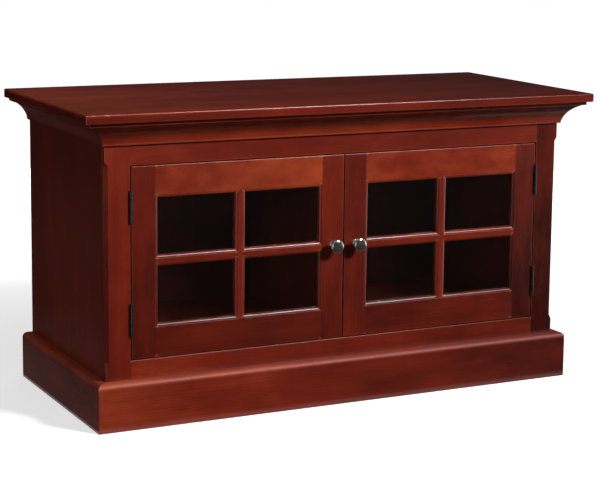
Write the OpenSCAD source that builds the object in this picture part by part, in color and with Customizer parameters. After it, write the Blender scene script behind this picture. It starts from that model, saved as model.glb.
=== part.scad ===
// A low media cabinet in stained cherry with two glazed doors, a cove crown under the top
// and a planted plinth. The doors are inset in a face frame and hang on mortised butt hinges.
// X runs to the viewer's right, the front faces -Y, and the floor is at Z = 0.

/* [Case] */
// Width over the two side panels
case_w = 1148; // [900:1:1500]
// Depth from the front of the face frame to the back edge
case_d = 510; // [420:1:620]
// Height from the floor to the underside of the top
case_h = 676; // [640:1:800]
// Thickness of the sides, deck, partition and stretchers
board_t = 19; // [16:0.5:22]
// Depth of the dados and rabbets that hold those boards
dado_d = 6; // [4:0.5:7]
// Thickness of the two back panels
back_t = 6; // [4:0.5:9]
// Width of the rabbet that a back panel sits in
back_rabbet_w = 9; // [7:0.5:10]
// How far the back panels sit in from the back edge
back_set = 1.5; // [0.5:0.5:4]
// Depth of each of the two stretchers under the top
stretcher_w = 90; // [60:1:140]
// How far the partition stands back from the closed doors
partition_back = 3; // [1.5:0.5:12]
// Diameter of the cable hole in each back panel
cable_hole_d = 51; // [30:1:80]
// Height of the cable hole's centre above the deck
cable_hole_z = 120; // [60:1:300]

/* [Top] */
// Thickness of the top
top_t = 20; // [16:0.5:30]
// Overhang of the top past the case at the front and the sides
top_over = 61; // [55:0.5:90]
// Radius along the upper edge of the top
top_ease = 3; // [1:0.5:6]
// Radius along the lower edge of the top
top_under_ease = 1.5; // [0.5:0.5:4]

/* [Crown] */
// Height of the crown moulding
crown_h = 54; // [46:0.5:70]
// How far the crown stands out at its upper fillet
crown_out = 49.5; // [42:0.5:54]
// Height of the upper fillet
crown_fillet_h = 8; // [4:0.5:12]
// Width of the step between the fillet and the cove
crown_step = 3.5; // [1:0.5:6]
// How far the crown's lower edge stands out
crown_lip = 6.5; // [4:0.5:9]
// Height of that lower edge
crown_lip_h = 4; // [2:0.5:8]
// Radius of the cove
cove_r = 58.5; // [52:0.5:90]
// Height of the crown's seat against the case
crown_seat_h = 28; // [18:0.5:34]
// Width of the crown's seat against the top
crown_seat_w = 25; // [18:0.5:30]

/* [Plinth] */
// Height of the plinth
plinth_h = 108; // [80:1:118]
// Thickness of the plinth boards
plinth_t = 25; // [18:0.5:40]
// Radius along the plinth's upper edge
plinth_round = 11; // [3:0.5:15]
// Leg of the triangular glue blocks behind the plinth
block_leg = 45; // [30:1:70]
// Height of the glue blocks
block_h = 80; // [40:1:100]

/* [Face frame] */
// Thickness of the face frame
frame_t = 20; // [18:0.5:25]
// Width of the face frame's stiles
stile_w = 58; // [48:1:80]
// Height of the bottom of the door opening above the floor
opening_z = 149; // [140:1:180]
// Height of the door opening
opening_h = 428; // [380:1:440]
// Height of the lower rail
low_rail_h = 90; // [50:1:120]
// Leg of the chamfer on the outer front corners
chamfer = 8; // [3:0.5:12]
// Length of the ramp that ends the chamfer
chamfer_ramp = 10; // [4:0.5:16]
// Radius along the front edges of the door opening
opening_ease = 1; // [0.5:0.1:1.5]
// Thickness of the tenons on the face frame's rails
frame_tenon_t = 8; // [6:0.5:10]
// Length of those tenons
frame_tenon_l = 25; // [15:1:35]
// Shoulder above and below each of those tenons
frame_shoulder = 12; // [6:1:20]

/* [Doors] */
// Thickness of the doors
door_t = 20; // [18:0.5:20]
// Radius along the front edges of the doors
door_ease = 1.5; // [0.5:0.1:2]
// Gap above and below the doors
door_gap = 2; // [1:0.1:4]
// Gap between a door and the face frame on the hinge side
hinge_gap = 2.4; // [1.8:0.1:3.2]
// Gap between the two doors
meeting_gap = 2.4; // [1.8:0.1:5]
// Width of the door stiles
door_stile_w = 62; // [52:1:80]
// Width of the upper door rail
door_top_w = 72; // [50:1:90]
// Width of the lower door rail
door_low_w = 75; // [50:1:100]
// Width of the glazing bars
bar_w = 25.4; // [22:0.1:34]
// Drop from the top of a door to the centre of its crossbars
crossbar_drop = 210; // [170:1:240]
// Radius of the moulding round each pane
ovolo_r = 6; // [4:0.5:7]
// Depth and width of the small step beside that moulding
quirk = 1.2; // [0.5:0.1:1.5]
// Depth of the glass behind the door's face
glass_depth = 9; // [8.8:0.1:10.5]
// Width of the glass rabbet
glass_rabbet_w = 8; // [6:0.5:8.5]
// Thickness of the glass
glass_t = 3; // [2:0.5:4]
// Gap round each pane in its rabbet
glass_play = 0.7; // [0.3:0.1:1.2]
// Width of the beads that hold the glass
bead_w = 7; // [4:0.5:7.5]
// Thickness of the tenons on the door rails
door_tenon_t = 6; // [5:0.5:7]
// Length of the tenons on the door rails
door_tenon_l = 25; // [15:1:35]
// Length of the stub tenons on the upright glazing bars
stub_l = 6; // [3:0.5:10]

/* [Hinges] */
// Length of a hinge
hinge_l = 70; // [50:1:90]
// Diameter of the hinge barrel
barrel_d = 6.8; // [6:0.1:7]
// Diameter of the hinge pin
pin_d = 3; // [2.4:0.1:3.4]
// Clearance between the barrel and the face of the door
barrel_clear = 0.2; // [0.1:0.1:0.6]
// Thickness of a hinge leaf
leaf_t = 2; // [1.6:0.1:2.4]
// Space between the two leaves of a closed hinge
leaf_gap = 0.4; // [0.2:0.1:0.8]
// How far a leaf reaches in from the door's face
leaf_w = 18; // [15:0.5:19]
// Space between two knuckles
knuckle_gap = 0.3; // [0.2:0.1:0.6]
// Drop from the top of a door to its upper hinge
hinge_drop = 52; // [30:1:70]
// Rise from the bottom of a door to its lower hinge
hinge_rise = 54; // [30:1:70]
// Diameter of a hinge screw's shank
screw_d = 3.2; // [2.6:0.1:3.6]
// Diameter of a hinge screw's head
screw_head_d = 6.8; // [6:0.1:7.4]
// Length of a hinge screw
screw_l = 17; // [12:1:24]

/* [Knobs] */
// Diameter of a knob
knob_d = 32; // [24:1:40]
// How far a knob stands out from the door
knob_out = 33; // [26:1:40]
// Diameter of the knob's base
knob_base_d = 15; // [12:1:20]
// Diameter of the knob's neck
knob_neck_d = 9; // [8:0.5:11]
// Distance from a door's meeting edge to its knob
knob_inset = 28; // [22:1:38]
// Rise of a knob above the centre of the crossbars
knob_rise = 4; // [0:1:20]
// Diameter of the screw that holds a knob
knob_screw_d = 4; // [3:0.5:5]

/* [Catches] */
// Width of a magnetic catch
catch_w = 13; // [10:0.5:15]
// Depth of a magnetic catch
catch_depth = 18; // [14:1:24]
// Height of a magnetic catch
catch_h = 46; // [36:1:60]
// Drop from the top of a door to the centre of its catch
catch_drop = 45; // [40:1:80]
// Thickness of the strike plate on the door
strike_t = 1.5; // [1:0.1:2]
// Length of the screw in a strike plate
strike_screw_l = 12; // [8:1:16]
// Air gap between the magnet and the strike plate
catch_gap = 0.4; // [0.3:0.1:1]

/* [Top screws] */
// Diameter of the screws that hold the top
top_screw_d = 4.5; // [3.5:0.5:6]
// How far those screws reach into the top
top_screw_bite = 13; // [8:1:14]
// Distance from the outer screws to the sides of the case
top_screw_inset = 120; // [60:1:200]
// Distance from the inner screws to the middle of the case
top_screw_off = 150; // [40:1:200]

/* [Fits] */
// Clearance in glued and housed joints
fit = 0.1; // [0.05:0.01:0.2]
// Radial clearance of the pin in the hinge knuckles
pin_clear = 0.05; // [0.02:0.01:0.1]
// Radial clearance of a screw in its pilot hole
screw_clear = 0.05; // [0.02:0.01:0.1]

/* [Hidden] */
$fn = 64;
wood = [0.36, 0.12, 0.08];
wood_light = [0.43, 0.15, 0.1];
wood_dark = [0.26, 0.09, 0.07];
panel_wood = [0.3, 0.11, 0.08];
hinge_metal = [0.16, 0.15, 0.14];
knob_metal = [0.74, 0.72, 0.68];
screw_metal = [0.5, 0.5, 0.48];
catch_plastic = [0.3, 0.2, 0.14];
clear_glass = [0.75, 0.85, 0.85, 0.35];

// Facets of the large shallow curves
shallow_fn = 180;

// How far a cutter runs past the face that it cuts
past = 2;

// How much deeper a pilot hole is than its screw
pilot_rest = 0.5;

// Radius of a dome from its half width and its rise
function dome_r(half, rise) = (pow(half, 2) + pow(rise, 2)) / (2 * rise);

// The case, from its outer corner to its inner faces
side_x = case_w / 2;
side_in = side_x - board_t;
top_d = case_d + top_over;
front_y = -top_d / 2 + top_over;
back_y = top_d / 2;
inner_y = front_y + frame_t;
panel_back = back_y - back_set;
panel_y = panel_back - back_t;
deck_low = opening_z - board_t;
roof_z = case_h - board_t;
partition_y = inner_y + partition_back;
rabbet_x = side_in + back_rabbet_w;

// Centre of the cove, on the open side of the chord from the lip to the fillet
cove_low = [crown_lip, crown_lip_h];
cove_high = [crown_out - crown_step, crown_h - crown_fillet_h];
cove_chord = norm(cove_high - cove_low);
cove_side = sqrt(pow(cove_r, 2) - pow(cove_chord / 2, 2)) / cove_chord;
cove_centre = (cove_low + cove_high) / 2
    + cove_side * [cove_high[1] - cove_low[1], cove_low[0] - cove_high[0]];

// The door opening
opening_x = side_x - stile_w;
opening_top = opening_z + opening_h;

// One door, with its hinge edge at zero and its front at zero
door_w = opening_x - hinge_gap - meeting_gap / 2;
door_h = opening_h - 2 * door_gap;
stick = quirk + ovolo_r;
fin_w = bar_w - 2 * glass_rabbet_w;
bar_x = door_w / 2;
bar_z = door_h - crossbar_drop;
bead_below = 0.5;
bead_t = door_t - glass_depth - glass_t - bead_below;
tenon_y = (door_t - door_tenon_t) / 2;
stub_t = 5;
stub_y = (glass_depth + door_t - stub_t) / 2;

// Both rails' tenons keep a wide shoulder at the door's edge and a thin one at the glass rabbet
edge_shoulder = 0.2;
rabbet_shoulder = 4;
low_tenon = [door_low_w * edge_shoulder, door_low_w - glass_rabbet_w - rabbet_shoulder];
high_tenon = [
    door_h - door_top_w + glass_rabbet_w + rabbet_shoulder,
    door_h - door_top_w * edge_shoulder
];

// The four rabbet openings of a door, each as its lowest and highest X and Z
pane_x = [
    [door_stile_w - glass_rabbet_w, bar_x - fin_w / 2],
    [bar_x + fin_w / 2, door_w - door_stile_w + glass_rabbet_w]
];
pane_z = [
    [door_low_w - glass_rabbet_w, bar_z - fin_w / 2],
    [bar_z + fin_w / 2, door_h - door_top_w + glass_rabbet_w]
];

// The hinge axis, measured from the door's front hinge corner
barrel_r = barrel_d / 2;
axis_out = barrel_r + barrel_clear;
axis_x = hinge_gap / 2;
leaf_back = 0.15;
leaf_low = axis_out + leaf_back;
leaf_high = axis_out + leaf_w;
mortise_d = leaf_t + leaf_gap / 2 - hinge_gap / 2;
knuckles = 5;
knuckle_l = (hinge_l - (knuckles - 1) * knuckle_gap) / knuckles;
low_hinge_z = hinge_rise;
high_hinge_z = door_h - hinge_drop - hinge_l;
tip_step = 0.4;
tip_r = barrel_r - tip_step;
tip_h = 2;

// Where the screws sit in a leaf, as shares of its depth and height
screw_rows = [
    [0.42, 0.17],
    [0.68, 0.5],
    [0.42, 0.83]
];

// The knob: its rolled rim, the hollow behind the head, its base and the end of its screw
knob_rim = 2;
knob_crown = 2.2;
knob_rim_z = knob_out - knob_crown - knob_rim;
knob_dome_r = dome_r(knob_d / 2 - knob_rim, knob_crown);
knob_cup_r = 5.5;
knob_cup_rise = 0.4;
knob_neck_z = knob_rim_z - knob_cup_r;
knob_base_h = 2.5;
knob_base_round = 0.8;
knob_screw_end = knob_rim_z - 5;

// The top screws
top_screw_x = [
    -side_x + top_screw_inset,
    -top_screw_off,
    top_screw_off,
    side_x - top_screw_inset
];
top_screw_y = [inner_y + stretcher_w / 2, panel_y - stretcher_w / 2];

// The catch stands on the partition and its magnet meets a strike plate on the lock stile
catch_z = door_h - catch_drop;
catch_y = inner_y + strike_t + catch_gap;
catch_notch = 3;
strike_x = door_w + meeting_gap / 2 - board_t / 2 - catch_w / 2;
strike_w = catch_w - 1;
strike_h = catch_h - 2 * catch_notch;

// Shared helpers

// A box given by its lowest and highest corners
module block(low, high) {
    translate(low)
        cube(high - low);
}

// A mirrored copy for the right-hand side
module right_hand() {
    mirror([1, 0, 0])
        children();
}

// A section whose X is the height and whose Y is the depth, run along X from 0 to length
module run_along_x(length) {
    translate([length, 0, 0])
        rotate([0, -90, 0])
            linear_extrude(length)
                children();
}

// The waste outside a rounded corner at the origin, with the solid towards -X and -Y
module corner_waste(r) {
    difference() {
        translate([-r, -r])
            square(r + past);
        translate([-r, -r])
            circle(r);
    }
}

// The waste along the four front edges of a frame that is w wide and h high
module eased_rim(w, h, r) {
    for (far = [0, 1]) {
        translate([far * w, 0, -past])
            mirror([far, 0, 0])
                linear_extrude(h + 2 * past)
                    rotate(180)
                        corner_waste(r);
        translate([-past, 0, far * h])
            mirror([0, 0, far])
                run_along_x(w + 2 * past)
                    rotate(180)
                        corner_waste(r);
    }
}

// A low domed screw head, as high as half its radius
module domed_head(r) {
    rotate_extrude()
        intersection() {
            translate([0, r / 2 - dome_r(r, r / 2)])
                circle(dome_r(r, r / 2));
            square([r, r]);
        }
}

// Top and crown

// Section of the top, from its back or far edge at 0 to its front or near edge at length
module top_section(length) {
    difference() {
        square([length, top_t]);
        translate([length, top_t])
            corner_waste(top_ease);
        translate([length, 0])
            mirror([0, 1])
                corner_waste(top_under_ease);
    }
}

// The front and both ends are eased; the back edge stays square
module top_panel() {
    half = side_x + top_over;
    color(wood_light)
        difference() {
            intersection() {
                translate([-half, back_y, case_h])
                    rotate([90, 0, -90])
                        mirror([0, 0, 1])
                            linear_extrude(2 * half)
                                top_section(top_d);
                translate([0, back_y, case_h])
                    rotate([90, 0, 0])
                        linear_extrude(top_d)
                            union() {
                                top_section(half);
                                mirror([1, 0])
                                    top_section(half);
                            }
            }
            top_screw_holes(case_h - past, case_h + top_screw_bite + pilot_rest);
        }
}

module top_screw_holes(low, high) {
    for (x = top_screw_x, y = top_screw_y)
        translate([x, y, low])
            cylinder(h = high - low, r = top_screw_d / 2 + screw_clear);
}

// Crown section: X stands out from the case and Y is the height above the crown's lower edge.
// The back is bevelled between its two seats, as on a sprung moulding.
module crown_section() {
    difference() {
        polygon([
            [0, 0],
            [crown_lip, 0],
            cove_low,
            cove_high,
            [crown_out, crown_h - crown_fillet_h],
            [crown_out, crown_h],
            [crown_out - crown_seat_w, crown_h],
            [0, crown_seat_h]
        ]);
        intersection() {
            translate(cove_centre)
                circle(cove_r, $fn = shallow_fn);
            translate(cove_low)
                square(cove_high - cove_low);
        }
    }
}

// Plinth section: X stands out from the case and Y is the height above the floor
module plinth_section() {
    difference() {
        square([plinth_t, plinth_h]);
        translate([plinth_t, plinth_h])
            corner_waste(plinth_round);
    }
}

// A moulding across the front, mitred at both ends
module front_run(z, height, out) {
    intersection() {
        translate([-side_x - out, front_y, z])
            rotate([90, 0, 90])
                mirror([1, 0, 0])
                    linear_extrude(2 * (side_x + out))
                        children();
        translate([0, front_y, z - past])
            linear_extrude(height + 2 * past)
                polygon([
                    [-side_x, 0],
                    [side_x, 0],
                    [side_x + out, -out],
                    [-side_x - out, -out]
                ]);
    }
}

// A moulding down the left side, mitred at the front and square at the back
module side_run(z, height, out) {
    intersection() {
        translate([-side_x, back_y, z])
            rotate([90, 0, 0])
                mirror([1, 0, 0])
                    linear_extrude(case_d + out)
                        children();
        translate([-side_x, front_y, z - past])
            linear_extrude(height + 2 * past)
                polygon([
                    [0, 0],
                    [-out, -out],
                    [-out, case_d],
                    [0, case_d]
                ]);
    }
}

module crown_front() {
    color(wood)
        front_run(case_h - crown_h, crown_h, crown_out)
            crown_section();
}

module crown_left() {
    color(wood)
        side_run(case_h - crown_h, crown_h, crown_out)
            crown_section();
}

module crown_right() {
    right_hand()
        crown_left();
}

module plinth_front() {
    color(wood_light)
        front_run(0, plinth_h, plinth_t)
            plinth_section();
}

module plinth_left() {
    color(wood_light)
        side_run(0, plinth_h, plinth_t)
            plinth_section();
}

module plinth_right() {
    right_hand()
        plinth_left();
}

// The back board closes the base between the sides and carries the deck
module plinth_back() {
    color(wood_dark)
        block([-side_in, back_y - board_t, 0], [side_in, back_y, deck_low]);
}

// Triangular blocks in the four inner corners of the base
module plinth_glue_blocks() {
    block_z = (deck_low - block_h) / 2;
    corners = [
        [-1, inner_y, 1],
        [1, inner_y, 1],
        [-1, back_y - board_t, -1],
        [1, back_y - board_t, -1]
    ];
    color(wood_dark)
        for (corner = corners)
            translate([corner[0] * side_in, corner[1], block_z])
                linear_extrude(block_h)
                    polygon([
                        [0, 0],
                        [-corner[0] * block_leg, 0],
                        [0, corner[2] * block_leg]
                    ]);
}

// Face frame

// A tenon of a face frame rail, grown on all sides by the clearance of its mortise
module frame_tenon(low, high, grow) {
    middle = front_y + frame_t / 2;
    block(
        [-opening_x - frame_tenon_l - grow, middle - frame_tenon_t / 2 - grow, low + frame_shoulder - grow],
        [-opening_x + past, middle + frame_tenon_t / 2 + grow, high - frame_shoulder + grow]
    );
}

module both_frame_tenons(grow) {
    frame_tenon(opening_top, case_h, grow);
    frame_tenon(opening_z - low_rail_h, opening_z, grow);
}

// The waste of the stopped chamfer on the left front corner, with a ramp at each end
module chamfer_waste() {
    deep = chamfer / sqrt(2);
    translate([-side_x, front_y, 0])
        rotate([0, 0, 45])
            rotate([90, 0, 0])
                translate([0, 0, -chamfer])
                    linear_extrude(2 * chamfer)
                        polygon([
                            [-past, opening_z - chamfer_ramp],
                            [0, opening_z - chamfer_ramp],
                            [deep, opening_z],
                            [deep, opening_top],
                            [0, opening_top + chamfer_ramp],
                            [-past, opening_top + chamfer_ramp]
                        ]);
}

// Moves the left door's own coordinates into the case
module at_left_door() {
    translate([-opening_x + hinge_gap, front_y, opening_z + door_gap])
        children();
}

module at_left_hinge(z) {
    at_left_door()
        translate([-axis_x, -axis_out, z])
            children();
}

// The waste along the front edges of the door opening, on its left stile and on both rails
module opening_waste() {
    translate([-opening_x, front_y, opening_z])
        linear_extrude(opening_h)
            mirror([0, 1])
                corner_waste(opening_ease);
    for (top = [0, 1])
        translate([-opening_x, front_y, top == 1 ? opening_top : opening_z])
            mirror([0, 0, top])
                run_along_x(2 * opening_x)
                    mirror([0, 1])
                        corner_waste(opening_ease);
}

// The left stile runs from the floor to the top. The two hinges are let into its inner edge.
module face_stile_left() {
    color(wood)
        difference() {
            block([-side_x, front_y, 0], [-opening_x, inner_y, case_h]);
            chamfer_waste();
            opening_waste();
            both_frame_tenons(fit);
            for (z = [low_hinge_z, high_hinge_z])
                at_left_hinge(z)
                    mirror([1, 0, 0]) {
                        leaf_mortise();
                        leaf_screws(screw_clear);
                    }
        }
}

module face_stile_right() {
    right_hand()
        face_stile_left();
}

module face_rail(low, high) {
    difference() {
        block([-opening_x, front_y, low], [opening_x, inner_y, high]);
        opening_waste();
    }
    difference() {
        union() {
            frame_tenon(low, high, 0);
            right_hand()
                frame_tenon(low, high, 0);
        }
        block([-opening_x, front_y - past, low - past], [opening_x, inner_y, high + past]);
    }
}

module face_rail_top() {
    color(wood)
        face_rail(opening_top, case_h);
}

module face_rail_bottom() {
    color(wood)
        face_rail(opening_z - low_rail_h, opening_z);
}

// Case

// The side has a dado for the deck, a rabbet along the top and a rabbet for the back
module side_panel_left() {
    color(wood)
        difference() {
            block([-side_x, inner_y, 0], [-side_in, back_y, case_h]);
            block(
                [-side_in - dado_d, inner_y - past, deck_low - fit],
                [-side_in + past, panel_y, opening_z + fit]
            );
            block(
                [-side_in - dado_d, inner_y - past, roof_z - fit],
                [-side_in + past, panel_y, case_h + past]
            );
            block(
                [-rabbet_x, panel_y, deck_low],
                [-side_in + past, back_y + past, case_h + past]
            );
        }
}

module side_panel_right() {
    right_hand()
        side_panel_left();
}

// The partition's edges, let into the deck and the stretchers
module partition_body(grow) {
    half = board_t / 2 + grow;
    block(
        [-half, partition_y - grow, opening_z - dado_d + fit - grow],
        [half, panel_y, roof_z + dado_d - fit + grow]
    );
}

module bottom_panel() {
    half = side_in + dado_d - fit;
    color(wood_dark)
        difference() {
            block([-half, inner_y, deck_low], [half, panel_y, opening_z]);
            partition_body(fit);
        }
}

module centre_partition() {
    color(wood_dark)
        partition_body(0);
}

// A flat stretcher under the top, with a hole for each top screw
module stretcher(y) {
    half = side_in + dado_d - fit;
    color(wood_dark)
        difference() {
            block([-half, y, roof_z], [half, y + stretcher_w, case_h]);
            partition_body(fit);
            top_screw_holes(roof_z - past, case_h + past);
        }
}

module top_stretcher_front() {
    stretcher(inner_y);
}

module top_stretcher_back() {
    stretcher(panel_y - stretcher_w);
}

// A thin back for one bay, with its cable hole
module back_panel_left() {
    color(panel_wood)
        difference() {
            block(
                [-rabbet_x + fit, panel_y + fit / 2, deck_low + fit],
                [-fit, panel_back, case_h - fit]
            );
            translate([-(side_in + board_t / 2) / 2, panel_back + past, opening_z + cable_hole_z])
                rotate([90, 0, 0])
                    cylinder(h = back_t + 2 * past, d = cable_hole_d);
        }
}

module back_panel_right() {
    right_hand()
        back_panel_left();
}

// Pan-head screws that come up through the stretchers into the top
module top_screws() {
    color(screw_metal)
        for (x = top_screw_x, y = top_screw_y)
            translate([x, y, roof_z]) {
                cylinder(h = board_t + top_screw_bite, d = top_screw_d);
                rotate([180, 0, 0])
                    domed_head(top_screw_d);
            }
}

// Door joinery

// Section of a door member with its moulded edge at X = w: a small step, a quarter round
// and a land at the front, and the glass rabbet behind
module moulded_waste(w) {
    difference() {
        translate([w - stick, -past])
            square([stick + past, past + stick]);
        translate([w - ovolo_r, stick])
            circle(ovolo_r);
        translate([w - stick - past, quirk])
            square([quirk + past, ovolo_r + past]);
    }
}

module rabbet_waste(w) {
    translate([w - glass_rabbet_w, glass_depth])
        square([glass_rabbet_w + past, door_t]);
}

module frame_section(w) {
    difference() {
        square([w, door_t]);
        moulded_waste(w);
        rabbet_waste(w);
    }
}

// A glazing bar is moulded and rabbeted on both edges, which leaves a fin between the panes
module bar_section() {
    intersection() {
        translate([-bar_w / 2, 0])
            frame_section(bar_w);
        mirror([1, 0])
            translate([-bar_w / 2, 0])
                frame_section(bar_w);
    }
}

// Stock of the hinge stile, from the bottom of the door to its top
module stile_stock() {
    linear_extrude(door_h)
        frame_section(door_stile_w);
}

module lock_stile_stock() {
    translate([door_w, 0, 0])
        mirror([1, 0, 0])
            stile_stock();
}

module bottom_rail_stock(length) {
    run_along_x(length)
        frame_section(door_low_w);
}

module top_rail_stock(length) {
    translate([0, 0, door_h])
        mirror([0, 0, 1])
            run_along_x(length)
                frame_section(door_top_w);
}

module upright_stock() {
    translate([bar_x, 0, 0])
        linear_extrude(door_h)
            bar_section();
}

// A rail's two tenons, grown by the clearance of their mortises
module rail_tenons(low, high, grow) {
    reach = glass_rabbet_w + door_tenon_l;
    block(
        [door_stile_w - reach - grow, tenon_y - grow, low - grow],
        [door_stile_w - glass_rabbet_w + past, tenon_y + door_tenon_t + grow, high + grow]
    );
    block(
        [door_w - door_stile_w + glass_rabbet_w - past, tenon_y - grow, low - grow],
        [door_w - door_stile_w + reach + grow, tenon_y + door_tenon_t + grow, high + grow]
    );
}

module all_door_mortises() {
    rail_tenons(low_tenon[0], low_tenon[1], fit);
    rail_tenons(high_tenon[0], high_tenon[1], fit);
}

// The stub tenons at the two ends of the upright bar
module stub_tenons(grow) {
    half = fin_w / 2 + grow;
    block(
        [bar_x - half, stub_y - grow, door_low_w - glass_rabbet_w - stub_l - grow],
        [bar_x + half, stub_y + stub_t + grow, door_low_w - glass_rabbet_w + past]
    );
    block(
        [bar_x - half, stub_y - grow, door_h - door_top_w + glass_rabbet_w - past],
        [bar_x + half, stub_y + stub_t + grow, door_h - door_top_w + glass_rabbet_w + stub_l + grow]
    );
}

module hinge_stile() {
    color(wood)
        difference() {
            stile_stock();
            eased_rim(door_w, door_h, door_ease);
            all_door_mortises();
            for (z = [low_hinge_z, high_hinge_z])
                translate([-axis_x, -axis_out, z]) {
                    leaf_mortise();
                    leaf_screws(screw_clear);
                }
        }
}

module lock_stile() {
    color(wood)
        difference() {
            lock_stile_stock();
            eased_rim(door_w, door_h, door_ease);
            all_door_mortises();
            at_knob()
                translate([0, 0, -door_t - past])
                    cylinder(h = door_t + 2 * past, r = knob_screw_d / 2 + screw_clear);
            at_strike_screw()
                cylinder(h = strike_screw_l + pilot_rest, r = screw_d / 2 + screw_clear);
        }
}

// A rail is coped over the moulding of both stiles
module coped_rail(low, high) {
    inner = door_stile_w - glass_rabbet_w;
    color(wood_light)
        difference() {
            union() {
                intersection() {
                    children();
                    block([inner + fit, -past, -past], [door_w - inner - fit, door_t, door_h + past]);
                }
                rail_tenons(low, high, 0);
            }
            eased_rim(door_w, door_h, door_ease);
            translate([fit, 0, 0])
                cope_waste();
            translate([door_w - fit, 0, 0])
                mirror([1, 0, 0])
                    cope_waste();
            stub_tenons(fit);
        }
}

// What the stile's moulding takes out of the end of a rail or crossbar
module cope_waste() {
    translate([0, 0, -past])
        linear_extrude(door_h + 2 * past)
            intersection() {
                frame_section(door_stile_w);
                translate([door_stile_w - stick - quirk, -past])
                    square([stick + 2 * quirk, glass_depth + past]);
            }
}

module bottom_rail() {
    coped_rail(low_tenon[0], low_tenon[1])
        bottom_rail_stock(door_w);
}

module top_rail() {
    coped_rail(high_tenon[0], high_tenon[1])
        top_rail_stock(door_w);
}

// The upright bar is coped over the moulding of both rails
module upright_bar() {
    low = door_low_w - glass_rabbet_w + fit;
    high = door_h - door_top_w + glass_rabbet_w - fit;
    color(wood_light)
        difference() {
            union() {
                intersection() {
                    upright_stock();
                    block([0, -past, low], [door_w, door_t, high]);
                }
                stub_tenons(0);
            }
            difference() {
                union() {
                    translate([0, 0, fit])
                        bottom_rail_stock(door_w);
                    translate([0, 0, -fit])
                        top_rail_stock(door_w);
                }
                stub_tenons(fit);
            }
        }
}

// Stock of a crossbar, centred on its own height
module crossbar_stock(length) {
    translate([0, 0, bar_z])
        run_along_x(length)
            bar_section();
}

// Two crossbars, each coped over a stile and over the upright bar
module crossbars() {
    inner = door_stile_w - glass_rabbet_w + fit;
    color(wood_light)
        difference() {
            intersection() {
                crossbar_stock(door_w);
                union() {
                    block([inner, -past, 0], [bar_x - fin_w / 2 - fit, door_t, door_h]);
                    block([bar_x + fin_w / 2 + fit, -past, 0], [door_w - inner, door_t, door_h]);
                }
            }
            translate([fit, 0, 0])
                cope_waste();
            translate([door_w - fit, 0, 0])
                mirror([1, 0, 0])
                    cope_waste();
            translate([-fit, 0, 0])
                upright_stock();
            translate([fit, 0, 0])
                upright_stock();
        }
}

// Glazing

module glass_panes() {
    color(clear_glass)
        for (x = pane_x, z = pane_z)
            block(
                [x[0] + glass_play, glass_depth, z[0] + glass_play],
                [x[1] - glass_play, glass_depth + glass_t, z[1] - glass_play]
            );
}

// One bead as a flat strip with mitred ends, a hair short of the corners of its span
module mitred_bead(span) {
    half = span / 2 - fit;
    rotate([90, 0, 0])
        mirror([0, 0, 1])
            linear_extrude(bead_t)
                polygon([
                    [-half, 0],
                    [half, 0],
                    [half - bead_w, bead_w],
                    [bead_w - half, bead_w]
                ]);
}

// Four mitred beads hold each pane from behind
module glass_beads() {
    color(wood_dark)
        for (x = pane_x, z = pane_z) {
            wide = x[1] - x[0] - 2 * fit;
            high = z[1] - z[0] - 2 * fit;
            translate([(x[0] + x[1]) / 2, glass_depth + glass_t, (z[0] + z[1]) / 2])
                for (turn = [0, 90, 180, 270]) {
                    span = turn % 180 == 0 ? wide : high;
                    rise = turn % 180 == 0 ? high : wide;
                    rotate([0, turn, 0])
                        translate([0, 0, -rise / 2])
                            mitred_bead(span);
                }
        }
}

// Hinges: the origin is on the pin axis at the lower end of the barrel, the door's leaf lies
// towards +X and both leaves run back along +Y

module leaf_mortise() {
    block(
        [axis_x - past, 0, -fit],
        [axis_x + mortise_d, leaf_high + fit, hinge_l + fit]
    );
}

// Screws through one leaf into the wood beside it. The clearance turns them into their holes.
module leaf_screws(grow) {
    inner = leaf_gap / 2;
    head_h = (screw_head_d - screw_d) / 2;
    for (row = screw_rows)
        translate([inner, axis_out + row[0] * leaf_w, row[1] * hinge_l])
            rotate([0, 90, 0]) {
                cylinder(h = head_h, r1 = screw_head_d / 2 + grow, r2 = screw_d / 2 + grow);
                cylinder(h = screw_l + (grow > 0 ? pilot_rest : 0), r = screw_d / 2 + grow);
            }
}

// One leaf with its knuckles; first is 0 for the knuckles at the ends and 1 for those between
module hinge_leaf(first) {
    pitch = knuckle_l + knuckle_gap;
    color(hinge_metal)
        difference() {
            union() {
                block([leaf_gap / 2, leaf_low, 0], [leaf_gap / 2 + leaf_t, leaf_high, hinge_l]);
                for (i = [first : 2 : knuckles - 1]) {
                    translate([0, 0, i * pitch])
                        cylinder(h = knuckle_l, r = barrel_r);
                    block(
                        [leaf_gap / 2, 0, i * pitch],
                        [leaf_gap / 2 + leaf_t, leaf_low + past, i * pitch + knuckle_l]
                    );
                }
            }
            translate([0, 0, -past])
                cylinder(h = hinge_l + 2 * past, r = pin_d / 2 + pin_clear);
            leaf_screws(screw_clear);
        }
}

module frame_leaf(z) {
    at_left_hinge(z)
        mirror([1, 0, 0])
            hinge_leaf(0);
}

module door_leaf(z) {
    at_left_hinge(z)
        hinge_leaf(1);
}

// A pin with a button tip at each end
module hinge_pin() {
    rotate_extrude()
        union() {
            translate([0, -fit])
                square([pin_d / 2, hinge_l + 2 * fit]);
            pin_tip();
            translate([0, hinge_l])
                mirror([0, 1])
                    pin_tip();
        }
}

module pin_tip() {
    translate([0, -tip_h - fit])
        intersection() {
            square([tip_r, tip_h]);
            translate([0, tip_r])
                circle(tip_r);
        }
}

module left_pins() {
    color(hinge_metal)
        for (z = [low_hinge_z, high_hinge_z])
            at_left_hinge(z)
                hinge_pin();
}

module door_screws() {
    color(hinge_metal)
        for (z = [low_hinge_z, high_hinge_z])
            at_left_hinge(z)
                leaf_screws(0);
}

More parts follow.
